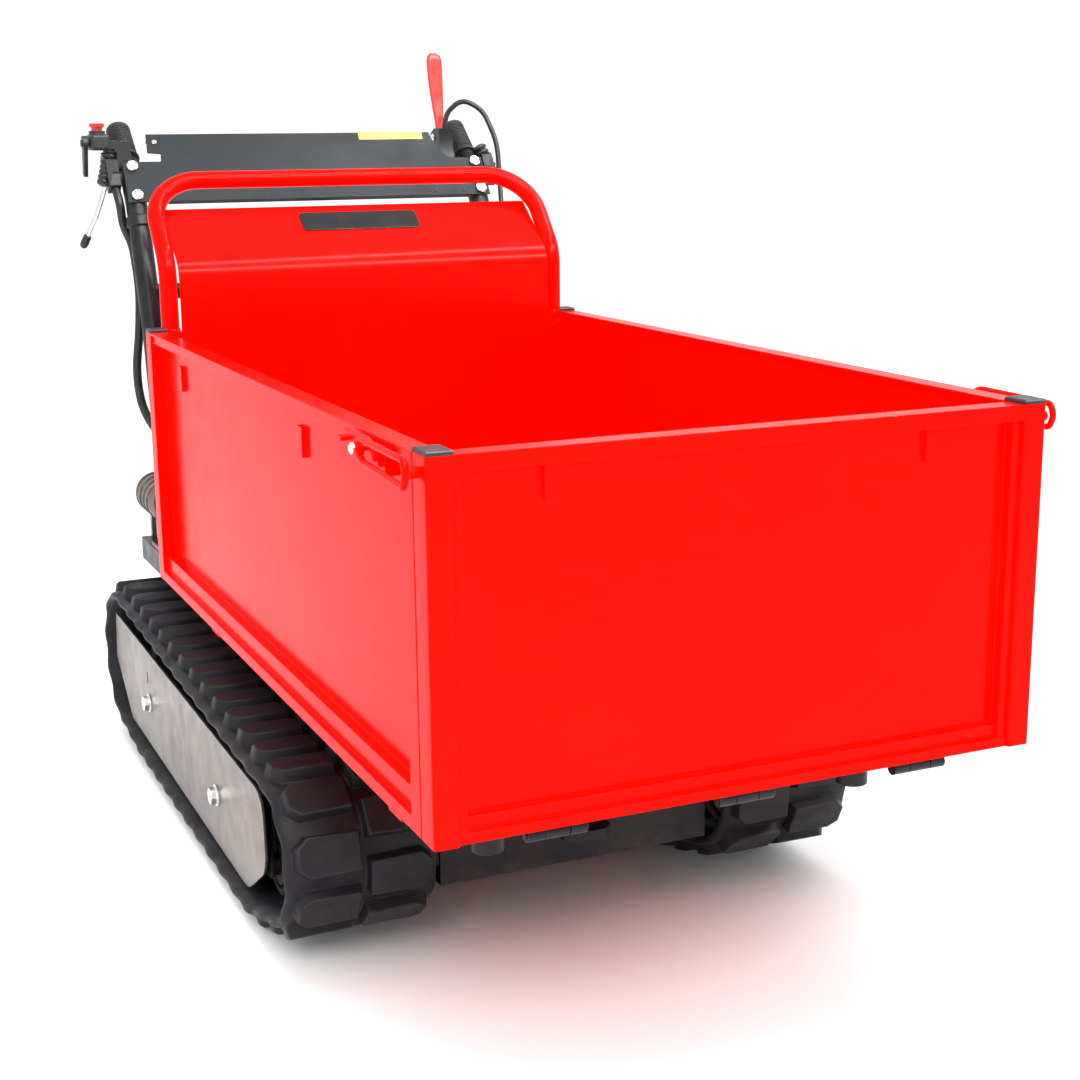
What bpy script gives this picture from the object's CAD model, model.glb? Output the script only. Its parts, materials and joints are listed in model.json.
import json
from math import acos, atan2, cos, pi, radians, sin, tan

import bmesh
import bpy
from mathutils import Matrix, Vector


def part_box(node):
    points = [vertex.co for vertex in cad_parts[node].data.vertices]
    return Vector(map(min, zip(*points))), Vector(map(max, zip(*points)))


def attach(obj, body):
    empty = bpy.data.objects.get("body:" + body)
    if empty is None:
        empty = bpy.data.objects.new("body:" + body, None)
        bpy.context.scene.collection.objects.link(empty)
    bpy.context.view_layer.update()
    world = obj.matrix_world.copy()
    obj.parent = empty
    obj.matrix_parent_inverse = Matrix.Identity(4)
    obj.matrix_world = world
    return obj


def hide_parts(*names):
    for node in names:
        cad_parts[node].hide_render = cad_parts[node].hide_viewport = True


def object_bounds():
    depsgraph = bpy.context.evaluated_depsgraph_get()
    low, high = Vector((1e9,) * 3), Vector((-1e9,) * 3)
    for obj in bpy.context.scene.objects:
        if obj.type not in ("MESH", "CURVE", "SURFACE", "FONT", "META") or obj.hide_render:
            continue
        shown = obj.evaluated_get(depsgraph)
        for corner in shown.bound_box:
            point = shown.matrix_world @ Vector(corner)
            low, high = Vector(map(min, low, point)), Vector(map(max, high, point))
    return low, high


# Looks of the tracked power wheelbarrow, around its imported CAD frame.
# Places are in millimetres from the skip's front edge and the ground; at() turns them
# into metres in the frame. X runs across, Y rearward, Z up.

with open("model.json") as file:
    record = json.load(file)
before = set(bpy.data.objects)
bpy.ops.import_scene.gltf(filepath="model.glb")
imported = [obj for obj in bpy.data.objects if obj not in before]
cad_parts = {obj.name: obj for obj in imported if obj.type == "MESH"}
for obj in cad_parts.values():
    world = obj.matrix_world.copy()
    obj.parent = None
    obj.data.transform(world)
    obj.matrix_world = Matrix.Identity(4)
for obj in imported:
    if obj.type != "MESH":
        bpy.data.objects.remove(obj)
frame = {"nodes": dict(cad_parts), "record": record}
cad_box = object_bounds()
nodes = frame["nodes"]
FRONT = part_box("gate_panel")[0].y
SIDES = (("left", -1), ("right", 1))


def at(x, y, z):
    return Vector((x / 1000, FRONT + y / 1000, z / 1000))


# ---- materials -----------------------------------------------------------------------
def link(tree, source, target):
    tree.links.new(source, target)


def noise_node(tree, coords, scale, detail=4.0, roughness=0.55):
    node = tree.nodes.new("ShaderNodeTexNoise")
    node.inputs["Scale"].default_value = scale
    node.inputs["Detail"].default_value = detail
    node.inputs["Roughness"].default_value = roughness
    link(tree, coords, node.inputs["Vector"])
    return node.outputs["Fac"]


def spread(tree, value, low, high, new_low, new_high):
    node = tree.nodes.new("ShaderNodeMapRange")
    for key, number in zip(("From Min", "From Max", "To Min", "To Max"), (low, high, new_low, new_high)):
        node.inputs[key].default_value = number
    link(tree, value, node.inputs["Value"])
    return node.outputs["Result"]


def blend_colour(tree, factor, first, second):
    node = tree.nodes.new("ShaderNodeMix")
    node.data_type = "RGBA"
    link(tree, factor, node.inputs["Factor"])
    for socket, colour in ((node.inputs["A"], first), (node.inputs["B"], second)):
        if isinstance(colour, tuple):
            socket.default_value = (*colour, 1)
        else:
            link(tree, colour, socket)
    return node.outputs["Result"]


def arithmetic(tree, operation, first, second):
    node = tree.nodes.new("ShaderNodeMath")
    node.operation = operation
    for socket, value in zip(node.inputs, (first, second)):
        if isinstance(value, (int, float)):
            socket.default_value = value
        else:
            link(tree, value, socket)
    return node.outputs["Value"]


def edge_mask(tree, radius):
    """1 on the sharp edges, 0 on flat ground, with the rounded normal that shows them."""
    rounded = tree.nodes.new("ShaderNodeBevel")
    rounded.samples = 4
    rounded.inputs["Radius"].default_value = radius
    geometry = tree.nodes.new("ShaderNodeNewGeometry")
    dot = tree.nodes.new("ShaderNodeVectorMath")
    dot.operation = "DOT_PRODUCT"
    link(tree, rounded.outputs["Normal"], dot.inputs[0])
    link(tree, geometry.outputs["Normal"], dot.inputs[1])
    return rounded.outputs["Normal"], spread(tree, dot.outputs["Value"], 0.995, 0.90, 0.0, 1.0)


def material(name, colour, accent, *, mottle=9.0, rough=0.4, rough_spread=0.1, grain=500.0, bump=0.1,
             metallic=0.0, coat=0.0, ior=1.45, wear=None, wear_share=0.5, edge=0.0012, dust=None,
             dust_top=0.15, brushed=False):
    """A finish with mottled colour, uneven gloss, fine bump, worn edges and, low down, dust."""
    made = bpy.data.materials.new(name)
    made.use_nodes = True
    tree = made.node_tree
    shader = tree.nodes["Principled BSDF"]
    shader.inputs["Metallic"].default_value = metallic
    shader.inputs["IOR"].default_value = ior
    shader.inputs["Coat Weight"].default_value = coat
    shader.inputs["Coat Roughness"].default_value = 0.08
    coords = tree.nodes.new("ShaderNodeTexCoord").outputs["Object"]
    shared = spread(tree, noise_node(tree, coords, mottle, 5.0), 0.35, 0.65, 0.0, 1.0)
    paint = blend_colour(tree, shared, colour, accent)
    normal, mask = edge_mask(tree, edge)
    smudge = noise_node(tree, coords, 28.0, 6.0)
    gloss = spread(tree, smudge, 0.3, 0.7, rough - rough_spread, rough + rough_spread)
    if wear:
        patch = spread(tree, noise_node(tree, coords, 90.0, 5.0), 0.62 - 0.3 * wear_share, 0.66, 0.0, 1.0)
        worn = arithmetic(tree, "MULTIPLY", mask, patch)
        paint = blend_colour(tree, worn, paint, wear)
    if dust:
        height = tree.nodes.new("ShaderNodeSeparateXYZ")
        link(tree, coords, height.inputs["Vector"])
        low = spread(tree, height.outputs["Z"], 0.0, dust_top, 0.75, 0.05)
        cloud = spread(tree, noise_node(tree, coords, 16.0, 7.0, 0.7), 0.42, 0.66, 0.0, 1.0)
        dirty = arithmetic(tree, "MULTIPLY", low, cloud)
        paint = blend_colour(tree, dirty, paint, dust)
        gloss = arithmetic(tree, "ADD", gloss, arithmetic(tree, "MULTIPLY", dirty, 0.25))
    link(tree, paint, shader.inputs["Base Color"])
    link(tree, gloss, shader.inputs["Roughness"])
    grain_coords = coords
    if brushed:
        stretch = tree.nodes.new("ShaderNodeMapping")
        stretch.inputs["Scale"].default_value = (1.0, 0.04, 1.0)
        link(tree, coords, stretch.inputs["Vector"])
        grain_coords = stretch.outputs["Vector"]
    relief = tree.nodes.new("ShaderNodeBump")
    relief.inputs["Strength"].default_value = bump
    relief.inputs["Distance"].default_value = 0.0006
    link(tree, noise_node(tree, grain_coords, grain, 3.0), relief.inputs["Height"])
    link(tree, normal, relief.inputs["Normal"])
    link(tree, relief.outputs["Normal"], shader.inputs["Normal"])
    return made


DUST = (0.20, 0.17, 0.13)
STEEL = (0.42, 0.41, 0.40)
looks = {
    "skip_paint": material("red_skip_paint", (0.93, 0.003, 0.0), (0.90, 0.002, 0.0), mottle=3.0, rough=0.20,
                           rough_spread=0.05, grain=260.0, bump=0.04, ior=1.12, wear=(0.80, 0.01, 0.005),
                           wear_share=0.2, edge=0.0014),
    "frame_paint": material("black_frame_paint", (0.007, 0.008, 0.010), (0.011, 0.012, 0.014), rough=0.36,
                            ior=1.3,
                            bump=0.12, wear=(0.10, 0.10, 0.10), dust=DUST, dust_top=0.10),
    "panel_paint": material("dark_panel_powder_coat", (0.020, 0.027, 0.031), (0.025, 0.033, 0.037),
                            rough=0.34,
                            rough_spread=0.06, grain=900.0, bump=0.12, ior=1.18, wear=(0.14, 0.15, 0.15),
                            wear_share=0.2),
    "track_rubber": material("track_rubber", (0.005, 0.005, 0.007), (0.009, 0.009, 0.011), mottle=18.0,
                             rough=0.55, ior=1.35,
                             rough_spread=0.14, grain=240.0, bump=0.35, wear=(0.035, 0.034, 0.035),
                             wear_share=0.9,
                             edge=0.003, dust=(0.045, 0.042, 0.04), dust_top=0.05),
    "wheel_paint": material("black_wheel_paint", (0.018, 0.018, 0.019), (0.03, 0.03, 0.03), rough=0.45,
                            bump=0.15, wear=STEEL, wear_share=0.8, dust=DUST),
    "cover_steel": material("satin_steel_plate", (0.235, 0.215, 0.20), (0.165, 0.15, 0.14), mottle=4.0,
                            rough=0.36,
                            rough_spread=0.08, grain=420.0, bump=0.16, metallic=0.85, wear=(0.75, 0.73, 0.70),
                            wear_share=0.6, brushed=True),
    "bright_bolt": material("zinc_bolt", (0.86, 0.86, 0.85), (0.70, 0.70, 0.68), mottle=60.0, rough=0.20,
                            bump=0.08, metallic=1.0, wear=(0.95, 0.95, 0.95)),
    "engine_cast": material("cast_aluminium", (0.42, 0.42, 0.41), (0.33, 0.33, 0.32), mottle=30.0, rough=0.52,
                            grain=900.0, bump=0.45, metallic=0.8, wear=(0.72, 0.72, 0.70), dust=DUST,
                            dust_top=0.4),
    "gearbox_cast": material("dark_casting", (0.045, 0.048, 0.052), (0.06, 0.062, 0.065), mottle=24.0,
                             rough=0.55,
                             grain=800.0, bump=0.4, wear=(0.25, 0.25, 0.25), dust=DUST, dust_top=0.2),
    "shroud_plastic": material("black_shroud_plastic", (0.014, 0.014, 0.015), (0.02, 0.02, 0.021), rough=0.48,
                               grain=1400.0, bump=0.3, wear=(0.06, 0.06, 0.06)),
    "tank_plastic": material("red_tank_enamel", (0.72, 0.012, 0.008), (0.62, 0.008, 0.005), rough=0.18,
                             bump=0.04,
                             coat=0.5, wear=(0.9, 0.2, 0.15), wear_share=0.2),
    "filter_plastic": material("black_moulded_plastic", (0.02, 0.02, 0.021), (0.028, 0.028, 0.029), rough=0.5,
                               grain=1200.0, bump=0.35, wear=(0.07, 0.07, 0.07)),
    "muffler_steel": material("heat_stained_steel", (0.26, 0.24, 0.22), (0.17, 0.13, 0.11), mottle=22.0,
                              rough=0.42,
                              bump=0.12, metallic=0.9, wear=(0.8, 0.78, 0.75)),
    "pulley_iron": material("machined_iron", (0.23, 0.23, 0.23), (0.17, 0.165, 0.16), mottle=40.0, rough=0.40,
                            bump=0.2, metallic=0.9, wear=(0.6, 0.6, 0.6)),
    "belt_rubber": material("belt_rubber", (0.014, 0.014, 0.015), (0.022, 0.022, 0.022), mottle=50.0,
                            rough=0.72,
                            grain=1600.0, bump=0.4, wear=(0.05, 0.05, 0.05)),
    "grip_rubber": material("grip_rubber", (0.010, 0.010, 0.011), (0.017, 0.017, 0.018), mottle=40.0,
                            rough=0.55,
                            grain=1500.0, bump=0.35, wear=(0.05, 0.05, 0.05), wear_share=0.7),
    "lever_bright": material("polished_lever", (0.80, 0.80, 0.80), (0.66, 0.66, 0.65), mottle=40.0,
                             rough=0.14,
                             rough_spread=0.05, bump=0.05, metallic=1.0, wear=(0.95, 0.95, 0.95)),
    "lever_red": material("red_lever_plastic", (0.62, 0.028, 0.016), (0.55, 0.02, 0.012), mottle=30.0,
                          rough=0.30,
                          bump=0.1, wear=(0.75, 0.25, 0.20), wear_share=0.5),
    "cable_jacket": material("cable_jacket", (0.008, 0.008, 0.009), (0.014, 0.014, 0.015), mottle=60.0,
                             rough=0.42,
                             grain=1800.0, bump=0.2, wear=(0.04, 0.04, 0.04)),
    "cap_plastic": material("black_cap_plastic", (0.010, 0.012, 0.013), (0.018, 0.021, 0.022), mottle=50.0,
                            rough=0.42, grain=1500.0, bump=0.25, wear=(0.10, 0.13, 0.13), wear_share=0.7),
    "badge_plastic": material("black_badge", (0.006, 0.006, 0.007), (0.010, 0.010, 0.012), mottle=30.0,
                              rough=0.22,
                              bump=0.05, wear=(0.05, 0.05, 0.05)),
}
label_yellow = material("yellow_label_film", (0.90, 0.80, 0.0), (0.84, 0.74, 0.0), mottle=20.0, rough=0.35,
                        bump=0.05, wear=(0.95, 0.92, 0.4))
body_of = {node: body for body, held in frame["record"]["behaviour"]["bodies"].items() for node in held}
node_slot = {sub["node"]: sub["material_slot"] for sub in frame["record"]["subparts"]}
for node_name, cad_object in nodes.items():
    cad_object.data.materials.clear()
    cad_object.data.materials.append(looks[node_slot[node_name]])


# ---- mesh helpers --------------------------------------------------------------------
def add_piece(name, mesh, body, finish, replaced=(), smooth=40.0):
    """Puts a mesh in the scene, shades it, gives it its finish and its body."""
    made = bpy.data.objects.new(name, mesh)
    bpy.context.scene.collection.objects.link(made)
    mesh.materials.clear()
    mesh.materials.append(finish)
    mesh.shade_smooth()
    mesh.set_sharp_from_angle(angle=radians(smooth))
    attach(made, body)
    if replaced:
        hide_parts(*replaced)
    return made


def bevel(piece, width_mm, segments=2, angle=35.0):
    edges = piece.modifiers.new("soft_edges", "BEVEL")
    edges.width = width_mm / 1000
    edges.segments = segments
    edges.limit_method = "ANGLE"
    edges.angle_limit = radians(angle)
    edges.use_clamp_overlap = True
    edges.harden_normals = True
    return piece


def mesh_of(name, points, faces):
    mesh = bpy.data.meshes.new(name)
    mesh.from_pydata([tuple(p) for p in points], [], faces)
    mesh.validate()
    mesh.update()
    return mesh


def welded_copy(node_name):
    """The CAD node's own shape as clean polygons, without its tessellation."""
    work = bmesh.new()
    work.from_mesh(nodes[node_name].data)
    bmesh.ops.remove_doubles(work, verts=work.verts, dist=0.00002)
    bmesh.ops.dissolve_limit(work, angle_limit=radians(0.6), verts=work.verts, edges=work.edges)
    bmesh.ops.recalc_face_normals(work, faces=work.faces)
    work.verts.index_update()
    points = [v.co.copy() for v in work.verts]
    faces = [[v.index for v in face.verts] for face in work.faces]
    work.free()
    return points, faces


def soften(node_name, body, width_mm=0.8, segments=2, angle=35.0, black_below=None):
    """Replaces a CAD node with its own shape, its edges rounded; what hangs below a height is black."""
    piece = add_piece(node_name + "_finished", mesh_of(node_name, *welded_copy(node_name)), body,
                      looks[node_slot[node_name]], (node_name,))
    if black_below:
        piece.data.materials.append(looks["frame_paint"])
        for face in piece.data.polygons:
            if face.center.z < black_below / 1000:
                face.material_index = 1
    return bevel(piece, width_mm, segments, angle)


def loft(name, rings, closed_along=False):
    """Skins rings of equal point counts, and closes both ends with a face."""
    count = len(rings[0])
    points = [p for ring in rings for p in ring]
    faces = []
    last = len(rings) if closed_along else len(rings) - 1
    for i in range(last):
        here, there = i * count, (i + 1) % len(rings) * count
        for j in range(count):
            k = (j + 1) % count
            faces.append([here + j, here + k, there + k, there + j])
    if not closed_along:
        faces.append(list(range(count))[::-1])
        faces.append([(len(rings) - 1) * count + j for j in range(count)])
    return mesh_of(name, points, faces)


def bent_line(corners, bends, steps=10):
    """Points along straight runs (millimetres) joined by tangent arcs."""
    points = [at(*corners[0])]
    for before, here, after, bend in zip(corners, corners[1:], corners[2:], bends):
        a, b, c = at(*before), at(*here), at(*after)
        to_a, to_c = (a - b).normalized(), (c - b).normalized()
        half = to_a.angle(to_c) / 2
        centre = b + (to_a + to_c).normalized() * (bend / 1000 / sin(half))
        start = b + to_a * (bend / 1000 / tan(half)) - centre
        finish = b + to_c * (bend / 1000 / tan(half)) - centre
        for i in range(steps + 1):
            points.append(centre + start.slerp(finish, i / steps, start).normalized() * (bend / 1000))
    points.append(at(*corners[-1]))
    return points


def path_frames(points, closed=False):
    """Parallel-transported frames (origin, side, up, along) at each point of a path."""
    frames = []
    side = None
    count = len(points)
    for i, point in enumerate(points):
        if closed:
            along = (points[(i + 1) % count] - points[i - 1]).normalized()
        else:
            along = (points[min(i + 1, count - 1)] - points[max(i - 1, 0)]).normalized()
        if side is None:
            side = along.cross(Vector((0, 0, 1)) if abs(along.z) < 0.9 else Vector((0, 1, 0))).normalized()
        side = (side - along * side.dot(along)).normalized()
        frames.append((point, side, along.cross(side), along))
    return frames


def tube(name, points, radius_mm, sides=24, squash=1.0):
    """A round or oval bar along a path; radius_mm may be a list, one value for each point."""
    radii = radius_mm if isinstance(radius_mm, (list, tuple)) else [radius_mm] * len(points)
    rings = []
    for (point, side, up, _), radius in zip(path_frames(points), radii):
        ring = []
        for j in range(sides):
            turn = 2 * pi * j / sides
            ring.append(point + (side * cos(turn) * squash + up * sin(turn)) * (radius / 1000))
        rings.append(ring)
    return loft(name, rings)


def turned(name, base, tip, profile, sides=28):
    """A turned piece on the axis base-tip (millimetres): profile pairs (share along, radius)."""
    start, axis = at(*base), at(*tip) - at(*base)
    points = [start + axis * share for share, _ in profile]
    length = axis.length
    along = axis.normalized()
    side = along.cross(Vector((0, 0, 1)) if abs(along.z) < 0.9 else Vector((0, 1, 0))).normalized()
    up = along.cross(side)
    rings = []
    for (share, radius), point in zip(profile, points):
        rings.append([point + (side * cos(2 * pi * j / sides) + up * sin(2 * pi * j / sides)) * (radius / 1000)
                      for j in range(sides)])
    return loft(name, rings)


def joined(name, meshes):
    """Several meshes as one."""
    points, faces = [], []
    for mesh in meshes:
        shift = len(points)
        points += [v.co.copy() for v in mesh.vertices]
        faces += [[shift + i for i in face.vertices] for face in mesh.polygons]
    return mesh_of(name, points, faces)


def plate(name, outline, low, high):
    """A prism: the outline's points given as callables of the third coordinate."""
    count = len(outline)
    points = [corner(low) for corner in outline] + [corner(high) for corner in outline]
    faces = [list(range(count))[::-1], list(range(count, 2 * count))]
    faces += [[i, (i + 1) % count, count + (i + 1) % count, count + i] for i in range(count)]
    return mesh_of(name, points, faces)


def slab(name, x0, x1, y0, y1, z0, z1):
    corners = [(x0, y0), (x1, y0), (x1, y1), (x0, y1)]
    return plate(name, [lambda z, c=c: at(c[0], c[1], z) for c in corners], z0, z1)


# ---- rubber tracks -------------------------------------------------------------------
LINKS = 37
CARCASS, LUG = 15.0, 15.0
BELT_HALF = 90.0


def wheel_circle(node_name, extra):
    low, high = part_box(node_name)
    return (low.y + high.y) / 2, (low.z + high.z) / 2, (high.z - low.z) / 2 + extra / 1000


class Loop:
    """The belt's closed line round its wheels, measured from the front wheel's underside."""

    def __init__(self, circles):
        turns = []
        for (y0, z0, r0), (y1, z1, r1) in zip(circles, circles[1:] + circles[:1]):
            run = Vector((y1 - y0, z1 - z0))
            turns.append(atan2(run.y, run.x) - acos((r0 - r1) / run.length))
        self.parts = []
        for i, (y, z, r) in enumerate(circles):
            start, end = turns[i - 1], turns[i]
            while end < start - 0.0001:
                end += 2 * pi
            self.parts.append(("arc", r * (end - start), (y, z, r, start)))
            y1, z1, r1 = circles[(i + 1) % len(circles)]
            out = Vector((cos(turns[i]), sin(turns[i])))
            a, b = Vector((y, z)) + out * r, Vector((y1, z1)) + out * r1
            self.parts.append(("run", (b - a).length, (a, b, out)))
        self.length = sum(part[1] for part in self.parts)

    def at(self, distance):
        """Point (y, z) and outward direction at a distance along the loop."""
        distance %= self.length
        for kind, length, data in self.parts:
            if distance <= length:
                break
            distance -= length
        if kind == "arc":
            y, z, r, start = data
            turn = start + distance / r
            out = Vector((cos(turn), sin(turn)))
            return Vector((y, z)) + out * r, out
        a, b, out = data
        return a.lerp(b, distance / length), out


def track(side_name, side):
    rise = CARCASS + 0.4
    loop = Loop([wheel_circle(f"idler_{side_name}", rise), wheel_circle(f"roller_front_{side_name}", rise),
                 wheel_circle(f"roller_rear_{side_name}", rise), wheel_circle(f"sprocket_{side_name}", rise)])
    low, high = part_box(f"rubber_track_{side_name}")
    middle = (low.x + high.x) / 2
    pitch = loop.length / LINKS

    def place(across, along, height):
        """across the belt, along the loop, and height above its outer face, all in metres."""
        point, out = loop.at(along)
        return Vector((middle + across, point.x + out.x * height, point.y + out.y * height))

    # carcass: a closed band whose edges bulge at every link's steel core
    steps = 6
    rings = []
    for i in range(LINKS * steps):
        along = i * pitch / steps
        bulge = 0.5 + 0.5 * cos(2 * pi * i / steps)
        edge = (BELT_HALF - 3 + 2.6 * bulge) / 1000
        top, under = -0.0005, -(CARCASS - 1.0) / 1000
        ridge = -0.0030 - 0.0018 * bulge
        half = [(0.0, top), (0.030, top), (0.070, top), (edge - 0.004, top - 0.0006), (edge, top - 0.004),
                (edge, under + 0.005), (edge - 0.005, under + 0.001), (0.062, under),
                (0.058, under + ridge * 0.3),
                (0.032, under + 0.0), (0.016, under + 0.0032), (0.0, under + 0.0032)]
        profile = half + [(-x, h) for x, h in half[-2:0:-1]]
        rings.append([place(x, along, h) for x, h in profile])
    band = loft("band", rings, closed_along=True)

    # two rows of tread blocks, half a pitch apart, their corners cut back
    meshes = [band]
    for i in range(LINKS):
        for row in (-1, 1):
            centre = (i + 0.25 + (0.5 if row == side else 0.0)) * pitch
            base = [(3, -21), (66, -23), (79, -12), (79, 12), (66, 23), (3, 21)]
            crown = [(6, -18), (64, -19.5), (75, -10), (75, 10), (64, 19.5), (6, 18)]
            points = [place(row * x / 1000, centre + y / 1000, -0.001) for x, y in base]
            points += [place(row * x / 1000, centre + y / 1000, (LUG - 0.4) / 1000) for x, y in crown]
            count = len(base)
            faces = [list(range(count)), [count + j for j in range(count)][::-1]]
            faces += [[j, count + j, count + (j + 1) % count, (j + 1) % count] for j in range(count)]
            meshes.append(mesh_of("block", points, faces))
        # guide horns and the sprocket's drive bar between them
        for horn in (-1, 1):
            low_ring = [(11, -10), (22, -10), (22, 10), (11, 10)]
            tip_ring = [(13, -6), (19, -6), (19, 6), (13, 6)]
            points = [place(horn * x / 1000, (i * pitch) + y / 1000, -(CARCASS - 2) / 1000) for x,
                      y in low_ring]
            points += [place(horn * x / 1000, (i * pitch) + y / 1000, -(CARCASS + 11.5) / 1000)
                       for x, y in tip_ring]
            faces = [[0, 1, 2, 3], [7, 6, 5, 4]] + [[j, 4 + j, 4 + (j + 1) % 4,
                                                     (j + 1) % 4] for j in range(4)]
            meshes.append(mesh_of("horn", points, faces))
    whole = joined(f"track_{side_name}", meshes)
    piece = add_piece(f"track_{side_name}_tread", whole, "chassis", looks["track_rubber"],
                      (f"rubber_track_{side_name}",), smooth=50)
    work = bmesh.new()
    work.from_mesh(piece.data)
    bmesh.ops.recalc_face_normals(work, faces=work.faces)
    work.to_mesh(piece.data)
    work.free()
    bevel(piece, 1.6, 2, 50)


for side_name, side in SIDES:
    track(side_name, side)


# ---- sheet metal ---------------------------------------------------------------------
soften("gate_panel", "gate", 1.2, black_below=299)
soften("rear_wall", "skip", 0.7)
soften("tip_striker", "skip", 0.6)
soften("skip_floor", "skip", 0.8, black_below=299.5)
soften("control_panel", "chassis", 0.8)
soften("engine_platform", "chassis", 0.8)
soften("chassis_frame", "chassis", 1.2)
soften("belt_guard", "chassis", 1.0)
soften("badge_plate", "skip", 0.6)
soften("gate_caps", "gate", 0.6)
soften("rear_caps", "skip", 0.6)
soften("tip_latch", "tip_latch", 0.8)
soften("gear_lever", "gear_lever", 0.4)
for side_name, side in SIDES:
    soften(f"side_panel_{side_name}", f"side_{side_name}", 1.2)
    soften(f"track_cover_{side_name}", "chassis", 0.5)
    soften(f"latch_lever_{side_name}", f"latch_{side_name}", 0.6)
    soften(f"track_frame_{side_name}", "chassis", 0.8)


def weld(name, points, body, finish="skip_paint", radius=2.4):
    """A rippled bead along a joint; points in millimetres."""
    path = []
    for start, end in zip(points, points[1:]):
        a, b = Vector(start), Vector(end)
        count = max(2, int((b - a).length / 1.4))
        path += [a.lerp(b, i / count) for i in range(count)]
    path.append(Vector(points[-1]))
    radii = [radius * (1 + 0.16 * sin(2 * pi * i / 3)) for i in range(len(path))]
    radii[0] = radii[-1] = radius * 0.4
    return add_piece(name, tube(name, [at(*p) for p in path], radii, sides=8), body, looks[finish])


def ring_points(x, y, z, radius, count=24):
    return [(x + radius * cos(2 * pi * i / count), y + radius * sin(2 * pi * i / count), z)
            for i in range(count + 1)]


# ---- push hoop -----------------------------------------------------------------------
HOOP_HALF, HOOP_R = 292.5, 12.5
HOOP_FOOT = (1092.5, 652.2)
HOOP_BEND, HOOP_TOP = (1092.5, 744.0), (1188.0, 855.0)


def hoop():
    left = [(-HOOP_HALF, *HOOP_FOOT), (-HOOP_HALF, *HOOP_BEND), (-HOOP_HALF, *HOOP_TOP)]
    corners = left + [(-x, y, z) for x, y, z in left[::-1]]
    bar = tube("hoop", bent_line(corners, [60, 72, 72, 60], 14), HOOP_R, sides=36)
    add_piece("hoop_bar", bar, "skip", looks["skip_paint"], ("hoop",))
    for side_name, side in SIDES:
        points = ring_points(side * HOOP_HALF, HOOP_FOOT[0], HOOP_FOOT[1] + 1.2, HOOP_R - 0.4)
        weld(f"hoop_weld_{side_name}", points, "skip", radius=1.8)


hoop()


# ---- handlebar and grips -------------------------------------------------------------
BAR_X, BAR_R = 278.0, 16.0
GRIP_RISE, GRIP_R, GRIP_START, GRIP_END = radians(39.9), 18.5, 34.0, 6.0
LENGTH = (cad_box[1].y - cad_box[0].y) * 1000
BAR_END = LENGTH - GRIP_END * cos(GRIP_RISE) - GRIP_R * sin(GRIP_RISE)
BAR_LINE = ((BAR_END, 859.3 + (BAR_END - 1375.3) * tan(GRIP_RISE)), (1375.3, 859.3), (1342.8, 808.8),
            (1281.0, 640.0), (1240.0, 440.0), (1236.0, 313.0))
DECK = 306.0


def handlebar():
    meshes = []
    for _, side in SIDES:
        corners = [(side * BAR_X, y, z) for y, z in BAR_LINE]
        meshes.append(tube("bar", bent_line(corners, (40, 60, 120, 120), 10), BAR_R, sides=32))
        foot_y = BAR_LINE[-1][0]
        meshes.append(slab("foot", side * BAR_X - 21, side * BAR_X + 21, foot_y - 45, foot_y + 45, DECK,
                           DECK + 8))
        for offset in (-30, 30):
            meshes.append(turned("nut", (side * BAR_X, foot_y + offset, DECK + 7.5),
                                 (side * BAR_X, foot_y + offset, DECK + 16), [(0, 9), (0.8, 9), (1, 7.6)],
                                 sides=6))
        meshes.append(turned("collar", (side * BAR_X, 1332.5, 783), (side * BAR_X, 1338, 799),
                             [(0, 17.2), (0.1, 19), (0.9, 19), (1, 17.2)], sides=32))
    corners = [(-BAR_X, 1298, 690), (0, 1298.01, 690), (BAR_X, 1298, 690)]
    meshes.append(tube("cross", [at(*p) for p in corners], 12, sides=28))
    bars = add_piece("handlebar_tubes", joined("handlebar", meshes), "chassis", looks["frame_paint"],
                     ("handlebar",))
    bevel(bars, 0.5, 2, 50)


def grip(side_name, side):
    """Ribbed sleeve with a flange at its inner end and a domed outer end."""
    y1, z1 = BAR_LINE[1]
    dy, dz = cos(GRIP_RISE), sin(GRIP_RISE)
    reach = (BAR_END - y1) / dy + GRIP_END
    base = (side * BAR_X, y1 + dy * GRIP_START, z1 + dz * GRIP_START)
    tip = (side * BAR_X, y1 + dy * reach, z1 + dz * reach)
    profile = [(0.0, 16.6), (0.004, 19.6), (0.035, 20.2), (0.06, 19.4), (0.07, 17.2)]
    ribs = 13
    for i in range(ribs):
        share = 0.10 + 0.78 * i / (ribs - 1)
        profile += [(share - 0.022, 16.9), (share - 0.014, 18.4), (share + 0.014, 18.4),
                    (share + 0.022, 16.9)]
    profile += [(0.925, 18.5), (0.965, 18.1), (0.99, 15.0), (1.0, 9.0), (1.003, 3.0)]
    piece = turned(f"grip_{side_name}", base, tip, profile, sides=40)
    extra = ("grips",) if side < 0 else ()
    add_piece(f"grip_{side_name}_sleeve", piece, "chassis", looks["grip_rubber"], extra, smooth=35)


handlebar()
for side_name, side in SIDES:
    grip(side_name, side)


# ---- control panel dressing ----------------------------------------------------------
PANEL_LEAN = radians(32.7)
PANEL_FOOT = (1335.0, 831.0)
PANEL_HIGH = 106.0


def on_panel(x, along, off=0.0):
    """A point over the panel: across, up its slope, and off its front face."""
    return (x, PANEL_FOOT[0] + along * sin(PANEL_LEAN) - off * cos(PANEL_LEAN),
            PANEL_FOOT[1] + along * cos(PANEL_LEAN) + off * sin(PANEL_LEAN))


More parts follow.
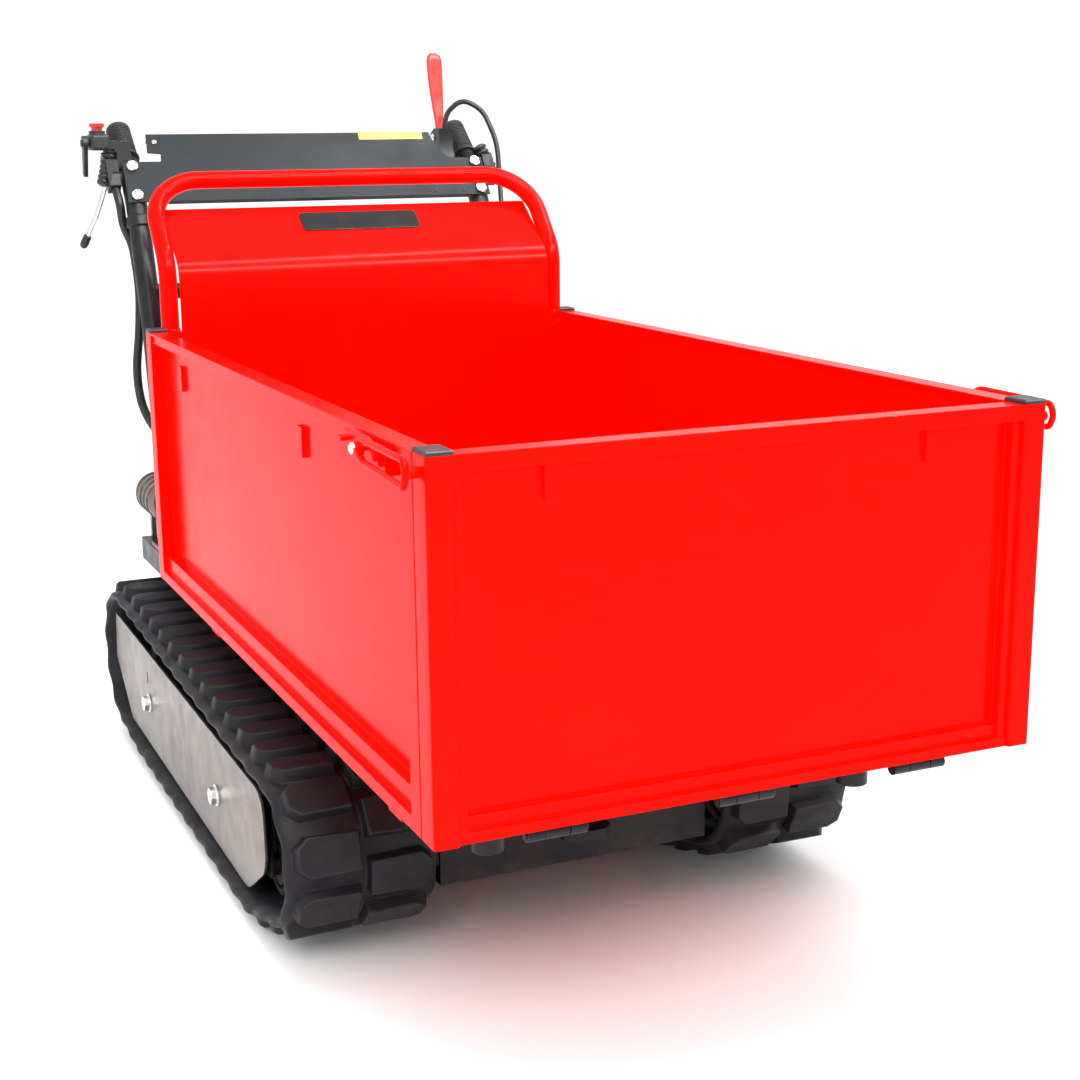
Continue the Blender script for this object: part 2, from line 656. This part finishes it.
def panel_label():
    """Plain yellow film folded over the panel's top edge."""
    section = [(PANEL_HIGH - 13, 0.15), (PANEL_HIGH + 0.3, 0.15), (PANEL_HIGH + 0.3, -9.0),
               (PANEL_HIGH + 0.6, -9.0), (PANEL_HIGH + 0.6, 0.45), (PANEL_HIGH - 13, 0.45)]
    outline = [lambda x, s=s: at(*on_panel(x, *s)) for s in section]
    add_piece("plain_label", plate("label", outline, 90, 198), "chassis", label_yellow)


def dome_screw(name, x, along, radius, height, finish="bright_bolt"):
    profile = [(0, radius), (0.35, radius), (0.7, radius * 0.85), (0.92, radius * 0.55), (1, radius * 0.2)]
    mesh = turned(name, on_panel(x, along, -0.6), on_panel(x, along, height), profile, sides=20)
    add_piece(name, mesh, "chassis", looks[finish])


panel_label()
dome_screw("panel_screw", -238, 92, 4.2, 2.6)
for number, x in enumerate((200, 249)):
    dome_screw(f"panel_rivet_{number}", x, -3, 2.6, 1.4, "shroud_plastic")
for number, (side, along) in enumerate(((-1, 0), (-1, 50), (1, 0), (1, 50))):
    dome_screw(f"panel_bolt_dome_{number}", side * 278, along, 8.6, 6.8)


# ---- clutch paddle, steering levers --------------------------------------------------
CLUTCH = (236.0, 1404.0, 912.0)


def clutch_paddle():
    """Flared dead-man's lever with rolled edges and a dished face, on its pivot eye."""
    x, y, z = CLUTCH
    lean = radians(-9)
    sections = [(6, 0, 6.5, 5.5), (16, 0, 6.6, 5.4), (30, -0.2, 7.6, 4.9), (48, -0.6, 9.4, 4.6),
                (70, -1, 11.2, 4.6),
                (92, -1, 12.4, 4.8), (112, -1, 13.0, 5.0), (124, -1, 12.6, 5.4), (131, -1, 10.6, 5.0),
                (135, -1, 6.5, 3.4)]
    rings = []
    for rise, shift, half_w, half_t in sections:
        ring = []
        for j in range(28):
            turn = 2 * pi * j / 28
            dx = half_w * (abs(cos(turn)) ** 0.6) * (1 if cos(turn) >= 0 else -1)
            dish = 0.42 if 40 < rise < 120 else 0.15
            dy = half_t * sin(turn) * (1 - dish * (1 - abs(dx) / half_w))
            py, pz = dy, rise
            ring.append(at(x + shift + dx, y + py * cos(lean) - pz * sin(lean),
                           z + py * sin(lean) + pz * cos(lean)))
        rings.append(ring)
    eye = turned("eye", (x - 6, y, z), (x + 6, y, z), [(0, 9.4), (0.08, 10), (0.92, 10), (1, 9.4)], sides=28)
    add_piece("clutch_paddle", joined("paddle", [loft("blade", rings), eye]), "clutch_lever",
              looks["lever_red"],
              ("clutch_lever",))
    for side in (-1, 1):
        dome = turned("pin_head", (x + side * 12, y, z), (x + side * 15.5, y, z),
                      [(0, 6), (0.5, 6), (1, 3.5)])
        add_piece(f"clutch_pin_head_{'right' if side > 0 else 'left'}", dome, "chassis", looks["bright_bolt"])


def steering_lever(side_name, side):
    """Bright pressed lever, oval in section, with a dark ball end."""
    x, y, z = side * 306.0, 1404.0, 872.0
    corners = [(x, y, z), (x + side * 4, y + 18, z - 34), (x + side * 16, y + 34, z - 74),
               (x + side * 34, y + 58, z - 119)]
    line = bent_line(corners, (40, 60), 10)
    blade = tube("blade", line, [5.4] * (len(line) - 4) + [5.2, 5.0, 4.8, 4.6], sides=20, squash=0.72)
    eye = turned("eye", (x - 4.6, y, z), (x + 4.6, y, z), [(0, 8.4), (0.1, 9), (0.9, 9), (1, 8.4)], sides=28)
    add_piece(f"steering_blade_{side_name}", joined("lever", [blade, eye]), f"steer_{side_name}",
              looks["lever_bright"], (f"steering_lever_{side_name}",))
    tip = (x + side * 34, y + 58, z - 119)
    root = (x + side * 28, y + 50, z - 104)
    cap = turned("cap", root, tip, [(0, 5.4), (0.1, 6.2), (0.8, 6.6), (1.1, 5.6), (1.25, 3)], sides=20)
    add_piece(f"steering_tip_{side_name}", cap, f"steer_{side_name}", looks["cap_plastic"])
    head = turned("pin_head", (x + side * 8.8, y, z), (x + side * 12.5, y, z), [(0, 6.5), (0.6, 6.5), (1, 4)])
    add_piece(f"steering_pin_head_{side_name}", head, "chassis", looks["bright_bolt"])


clutch_paddle()
for side_name, side in SIDES:
    steering_lever(side_name, side)


def ribbed_boot(side_name, side):
    """Rubber bellows from the lever's housing down over the cable's end."""
    profile = []
    folds = 7
    for i in range(folds):
        share = i / folds
        size = 12.5 - 3.5 * share
        profile += [(share, size - 3), (share + 0.05, size), (share + 0.09, size), (share + 0.13, size - 3)]
    profile.append((1.0, 4.5))
    mesh = turned("boot", (side * 300, 1398, 896), (side * 322, 1372, 846), profile, sides=24)
    add_piece(f"lever_boot_{side_name}", mesh, "chassis", looks["cap_plastic"])


for side_name, side in SIDES:
    ribbed_boot(side_name, side)


# ---- gate latches --------------------------------------------------------------------
def latch_bail(side_name, side):
    """Bent round rod from the lever's pin to the gate's lug."""
    x = side * 340.0
    loop = [(134, 645), (122, 650), (12, 649), (7, 637), (13, 625), (118, 630), (134, 637)]
    start = at(x, *loop[0])
    path = [start]
    for before, here, after in zip(loop, loop[1:], loop[2:]):
        a, b, c = at(x, *before), at(x, *here), at(x, *after)
        near, far = b.lerp(a, min(0.5, 0.005 / (a - b).length)), b.lerp(c, min(0.5, 0.005 / (c - b).length))
        path += [near.lerp(b, t).lerp(b.lerp(far, t), t) for t in (0.0, 0.25, 0.5, 0.75, 1.0)]
    path.append(at(x, *loop[-1]))
    rod = tube("bail", path, 3.2, sides=16)
    eye = turned("eye", (x - 3.5, 130, 641), (x + 3.5, 130, 641), [(0, 7.4), (0.15, 8), (0.85, 8), (1, 7.4)])
    add_piece(f"latch_rod_{side_name}", joined("bail", [rod, eye]), f"bail_{side_name}", looks["skip_paint"],
              (f"latch_bail_{side_name}",))
    end = x + side * 6.5
    head = turned("pin_head", (end - side * 2, 130, 641), (end + side * 2.4, 130, 641),
                  [(0, 5.5), (0.6, 5.5), (1, 3)])
    add_piece(f"latch_pin_head_{side_name}", head, f"latch_{side_name}", looks["bright_bolt"])


for side_name, side in SIDES:
    latch_bail(side_name, side)


# ---- engine dressing -----------------------------------------------------------------
def hex_screw(name, base, tip, radius, body="chassis", finish="bright_bolt"):
    """Hexagon head on a round washer, its axis from base to tip."""
    a, b = Vector(base), Vector(tip)
    washer = turned("washer", base, tuple(a.lerp(b, 0.22)), [(0, radius * 1.35), (1, radius * 1.3)], sides=24)
    head = turned("head", tuple(a.lerp(b, 0.2)), tip, [(0, radius), (0.85, radius), (1, radius * 0.85)],
                  sides=6)
    add_piece(name, joined(name, [washer, head]), body, looks[finish])


def lean_on_cylinder(x, y, z):
    """A point on the engine's inclined cylinder: across, over its face, and along its axis."""
    tilt = radians(30)
    return (-6 + x, 1262 + y * cos(tilt) + z * sin(tilt), 430 - y * sin(tilt) + z * cos(tilt))


def engine_dressing():
    plug = turned("plug", lean_on_cylinder(0, 0, 148), lean_on_cylinder(0, 0, 186),
                  [(0, 11), (0.14, 11), (0.16, 8), (0.5, 8), (0.55, 5.5), (0.8, 5), (0.85, 7), (1, 6)],
                  sides=24)
    add_piece("spark_plug", plug, "chassis", looks["lever_bright"])
    boot = turned("boot", lean_on_cylinder(0, 0, 176), lean_on_cylinder(0, 0, 204),
                  [(0, 8.5), (0.2, 9.5), (0.7, 9.5), (1, 7)], sides=24)
    add_piece("plug_boot", boot, "chassis", looks["cap_plastic"])
    lead = bent_line([lean_on_cylinder(0, 0, 200), lean_on_cylinder(0, 0, 222), (-90, 1340, 600),
                      (-140, 1290, 545)], (14, 30), 8)
    add_piece("plug_lead", tube("lead", lead, 3.4, sides=14), "chassis", looks["cable_jacket"])
    for number, (x, y) in enumerate(((-40, -30), (40, -30), (-40, 30), (40, 30))):
        hex_screw(f"head_bolt_{number}", lean_on_cylinder(x, y, 149), lean_on_cylinder(x, y, 158), 6.5)
    # carburettor and its intake between the cylinder and the filter box
    carb = turned("carb", (40, 1330, 520), (72, 1345, 520), [(0, 17), (0.3, 17), (0.32, 24), (1, 24)],
                  sides=28)
    add_piece("carburettor", carb, "chassis", looks["engine_cast"])
    bowl = turned("bowl", (56, 1338, 506), (56, 1338, 478), [(0, 17), (0.75, 17), (0.95, 13), (1, 5)],
                  sides=28)
    add_piece("float_bowl", bowl, "chassis", looks["bright_bolt"])
    cap = turned("cap", (-60, 1297, 336), (-60, 1318, 336), [(0, 13), (0.3, 13), (0.32, 17), (0.9, 17),
                                                             (1, 14)],
                 sides=12)
    add_piece("oil_filler_cap", cap, "chassis", looks["filter_plastic"])
    for number, (x, y) in enumerate(((-85, 1173), (77, 1173), (-85, 1277), (77, 1277))):
        hex_screw(f"engine_foot_bolt_{number}", (x, y, 325), (x, y, 335), 5.5)
    # ribs and rim of the fan's grille
    x, y, z = -180.5, 1221.0, 432.0
    ribs = []
    for i in range(16):
        turn = 2 * pi * i / 16
        ribs.append(tube("rib", [at(x, y + r * cos(turn), z + r * sin(turn)) for r in (76, 88, 98)], 2.2,
                         sides=8))
    add_piece("fan_grille", joined("grille", ribs), "chassis", looks["shroud_plastic"])
    # louvres of the filter box and the strap that holds its lid
    slots = [slab("louvre", 80, 142, 1397.2, 1399.4, 486 + 12 * i, 492 + 12 * i) for i in range(6)]
    add_piece("filter_louvres", joined("louvres", slots), "chassis", looks["filter_plastic"])
    strap = slab("strap", 104, 116, 1316, 1399, 565.5, 567.4)
    add_piece("filter_strap", strap, "chassis", looks["bright_bolt"])


engine_dressing()


# ---- fasteners and weld beads --------------------------------------------------------
for number, (x, y) in enumerate(((-285, 1135), (285, 1135), (-60, 1342), (120, 1342), (-200, 1342),
                                 (220, 1342))):
    hex_screw(f"platform_bolt_{number}", (x, y, 305.6), (x, y, 313), 6.0)
for number, y in enumerate((1159, 1338)):
    hex_screw(f"guard_bolt_{number}", (186, y, 309.6), (186, y, 316), 4.6)
for side_name, side in SIDES:
    for number, y in enumerate((600, 863, 1120)):
        hex_screw(f"track_frame_bolt_{side_name}_{number}", (side * 272, y, 154.6), (side * 272, y, 162), 6.5)
    for number, y in enumerate((560, 863, 1166)):
        cap = turned("cap", (side * 333.8, y, 70), (side * 340, y, 70), [(0, 9.6), (0.6, 9.6), (1, 6)],
                     sides=24)
        add_piece(f"roller_axle_cap_{side_name}_{number}", cap, "chassis", looks["wheel_paint"])
    hinge = turned("cap", (side * 139.6, 340, 270), (side * 144, 340, 270), [(0, 12.5), (0.6, 12.5), (1, 8)])
    add_piece(f"skip_hinge_cap_{side_name}", hinge, "chassis", looks["bright_bolt"])
    for number, y in enumerate((702, 1030)):
        points = [(side * 213.4, y + 28.6 * cos(radians(a)), 112 + 28.6 * sin(radians(a)))
                  for a in range(0, 361, 15)]
        weld(f"cross_tube_weld_{side_name}_{number}", points, "chassis", "frame_paint", 2.2)
    weld(f"front_plate_weld_{side_name}", [(side * 103, 402, 86), (side * 103, 402, 182)], "chassis",
         "frame_paint")
    weld(f"gate_post_weld_{side_name}", [(side * 289.6, 17, 325), (side * 289.6, 17, 634)], "gate",
         radius=1.4)
    weld(f"floor_weld_{side_name}", [(side * 296, 1077.6, 304), (side * 296, 1077.6, 640)], "skip",
         radius=1.6)
    for number, y in enumerate((150, 850)):
        weld(f"slide_weld_{side_name}_{number}", [(side * 303, y - 19, 302), (side * 303, y + 19, 302)],
             f"side_{side_name}", radius=1.2)
weld("rear_seam_weld", [(-290, 1077.4, 303.6), (290, 1077.4, 303.6)], "skip", radius=1.8)


# ---- every other CAD piece, its edges rounded ----------------------------------------
finished = {"hoop", "tip_striker", "handlebar", "grips", "clutch_lever", "gate_panel", "rear_wall",
            "skip_floor", "control_panel",
            "engine_platform", "chassis_frame", "belt_guard", "badge_plate", "gate_caps", "rear_caps",
            "tip_latch",
            "gear_lever"}
for side_name, side in SIDES:
    finished |= {f"{start}_{side_name}" for start in ("rubber_track", "side_panel", "track_cover",
                                                      "latch_lever",
                                                      "track_frame", "steering_lever", "latch_bail")}
for node_name in sorted(set(nodes) - finished):
    soften(node_name, body_of[node_name], 0.5)


# ---- camera, light and floor ---------------------------------------------------------
def camera():
    data = bpy.data.cameras.new("camera")
    data.sensor_width = 36.0
    data.lens = 58.316
    made = bpy.data.objects.new("camera", data)
    bpy.context.scene.collection.objects.link(made)
    made.location = (-0.8243, -2.0823, 0.9113)
    azimuth, elevation, roll = radians(24.129), radians(12.985), radians(-0.554)
    look = Vector((sin(azimuth) * cos(elevation), cos(azimuth) * cos(elevation), -sin(elevation)))
    turn = look.to_track_quat("-Z", "Y").to_matrix().to_4x4() @ Matrix.Rotation(roll, 4, "Z")
    made.rotation_euler = turn.to_euler()
    bpy.context.scene.camera = made


WORLD_STRENGTH = 1.05


def softbox(name, place, target, width, height, power, mirrored=False):
    """A rectangular light; only a mirrored one shows as a highlight in the paint."""
    data = bpy.data.lights.new(name, "AREA")
    data.shape = "RECTANGLE"
    data.size, data.size_y, data.energy = width, height, power
    made = bpy.data.objects.new(name, data)
    bpy.context.scene.collection.objects.link(made)
    made.location = place
    made.visible_glossy = mirrored
    made.visible_diffuse = not mirrored
    made.rotation_euler = (Vector(target) - Vector(place)).to_track_quat("-Z", "Y").to_euler()


def studio():
    """White surroundings, three large softboxes, and two strips that only glossy paint mirrors."""
    world = bpy.data.worlds.new("studio")
    world.use_nodes = True
    tree = world.node_tree
    background = tree.nodes["Background"]
    background.inputs["Color"].default_value = (1, 1, 1, 1)
    background.inputs["Strength"].default_value = WORLD_STRENGTH
    bpy.context.scene.world = world
    bpy.context.scene.view_settings.view_transform = "Standard"
    softbox("key_softbox", (-1.6, -3.4, 3.0), (0.0, -0.3, 0.4), 2.4, 1.6, 95.0)
    softbox("top_softbox", (0.2, 0.1, 3.4), (0.0, 0.0, 0.3), 3.0, 3.0, 50.0)
    softbox("side_softbox", (-3.6, -0.4, 1.6), (0.0, 0.0, 0.4), 2.0, 2.0, 34.0)
    softbox("bend_strip", (1.0, -2.4, 2.9), (0.0, 0.3, 0.8), 5.0, 0.12, 260.0, True)
    softbox("hood_strip", (1.0, -0.9, 3.6), (0.0, 0.3, 0.8), 5.0, 0.10, 200.0, True)
    data = bpy.data.lights.new("overhead", "SUN")
    data.energy, data.angle = 0.9, radians(100)
    made = bpy.data.objects.new("overhead", data)
    made.visible_glossy = False
    bpy.context.scene.collection.objects.link(made)


def floor():
    rings = 48
    points = [Vector((40 * cos(2 * pi * i / rings), 40 * sin(2 * pi * i / rings),
                      -0.0006)) for i in range(rings)]
    mesh = mesh_of("floor", points, [list(range(rings))])
    made = bpy.data.objects.new("studio_floor", mesh)
    bpy.context.scene.collection.objects.link(made)
    mesh.materials.append(material("pale_floor", (0.93, 0.93, 0.93), (0.91, 0.91, 0.91), mottle=0.8,
                                   rough=0.85,
                                   bump=0.03))


camera()
studio()
floor()
